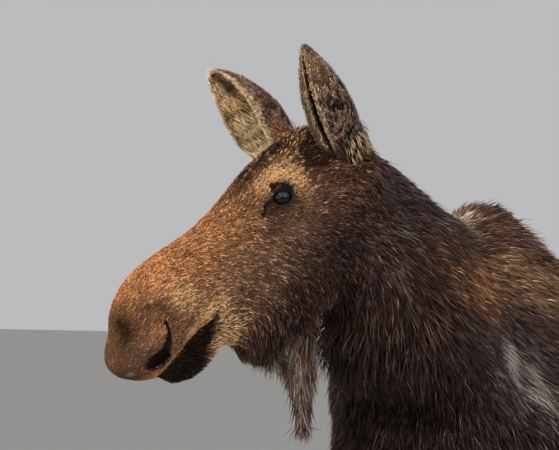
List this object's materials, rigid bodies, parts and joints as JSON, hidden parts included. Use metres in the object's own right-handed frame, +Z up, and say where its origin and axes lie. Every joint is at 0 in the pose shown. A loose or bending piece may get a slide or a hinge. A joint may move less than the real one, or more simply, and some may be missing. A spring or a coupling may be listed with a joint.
{
  "type": "cow moose",
  "caption": "Standing cow moose at life size, head turned and slightly lowered, with a hanging bell, upright ears, high shoulder hump and long legs.",
  "frame": {"origin": "on the floor under the middle of the whole animal's box", "axes": "+Z up; the trunk lies along Y and faces -Y; the animal's left side is +X"},
  "size_m": [0.7174, 2.2312, 2.0944],
  "materials": {
    "face_hair": "short dense warm brown hair of the face",
    "dark_hair": "coarse dark brown winter coat",
    "ear_hair": "pale buff hair with grizzled dark tips",
    "leg_hair": "short grey-buff hair of the lower legs",
    "eye": "wet, almost black brown",
    "hoof_horn": "dark worn horn"
  },
  "bodies": {
    "root": {"bell": "dark_hair", "ear_left": "ear_hair", "ear_right": "ear_hair", "eye_left": "eye", "eye_right": "eye", "head": "face_hair", "lower_jaw": "dark_hair", "neck": "dark_hair", "trunk": "dark_hair", "tail": "dark_hair", "foreleg_left_cannon": "leg_hair", "foreleg_left_dewclaw_inner": "hoof_horn", "foreleg_left_dewclaw_outer": "hoof_horn", "foreleg_left_forearm": "dark_hair", "foreleg_left_toe_inner": "hoof_horn", "foreleg_left_toe_outer": "hoof_horn", "foreleg_right_cannon": "leg_hair", "foreleg_right_dewclaw_inner": "hoof_horn", "foreleg_right_dewclaw_outer": "hoof_horn", "foreleg_right_forearm": "dark_hair", "foreleg_right_toe_inner": "hoof_horn", "foreleg_right_toe_outer": "hoof_horn", "hindleg_left_cannon": "leg_hair", "hindleg_left_dewclaw_inner": "hoof_horn", "hindleg_left_dewclaw_outer": "hoof_horn", "hindleg_left_gaskin": "dark_hair", "hindleg_left_toe_inner": "hoof_horn", "hindleg_left_toe_outer": "hoof_horn", "hindleg_right_cannon": "leg_hair", "hindleg_right_dewclaw_inner": "hoof_horn", "hindleg_right_dewclaw_outer": "hoof_horn", "hindleg_right_gaskin": "dark_hair", "hindleg_right_toe_inner": "hoof_horn", "hindleg_right_toe_outer": "hoof_horn"}
  },
  "joints": []
}
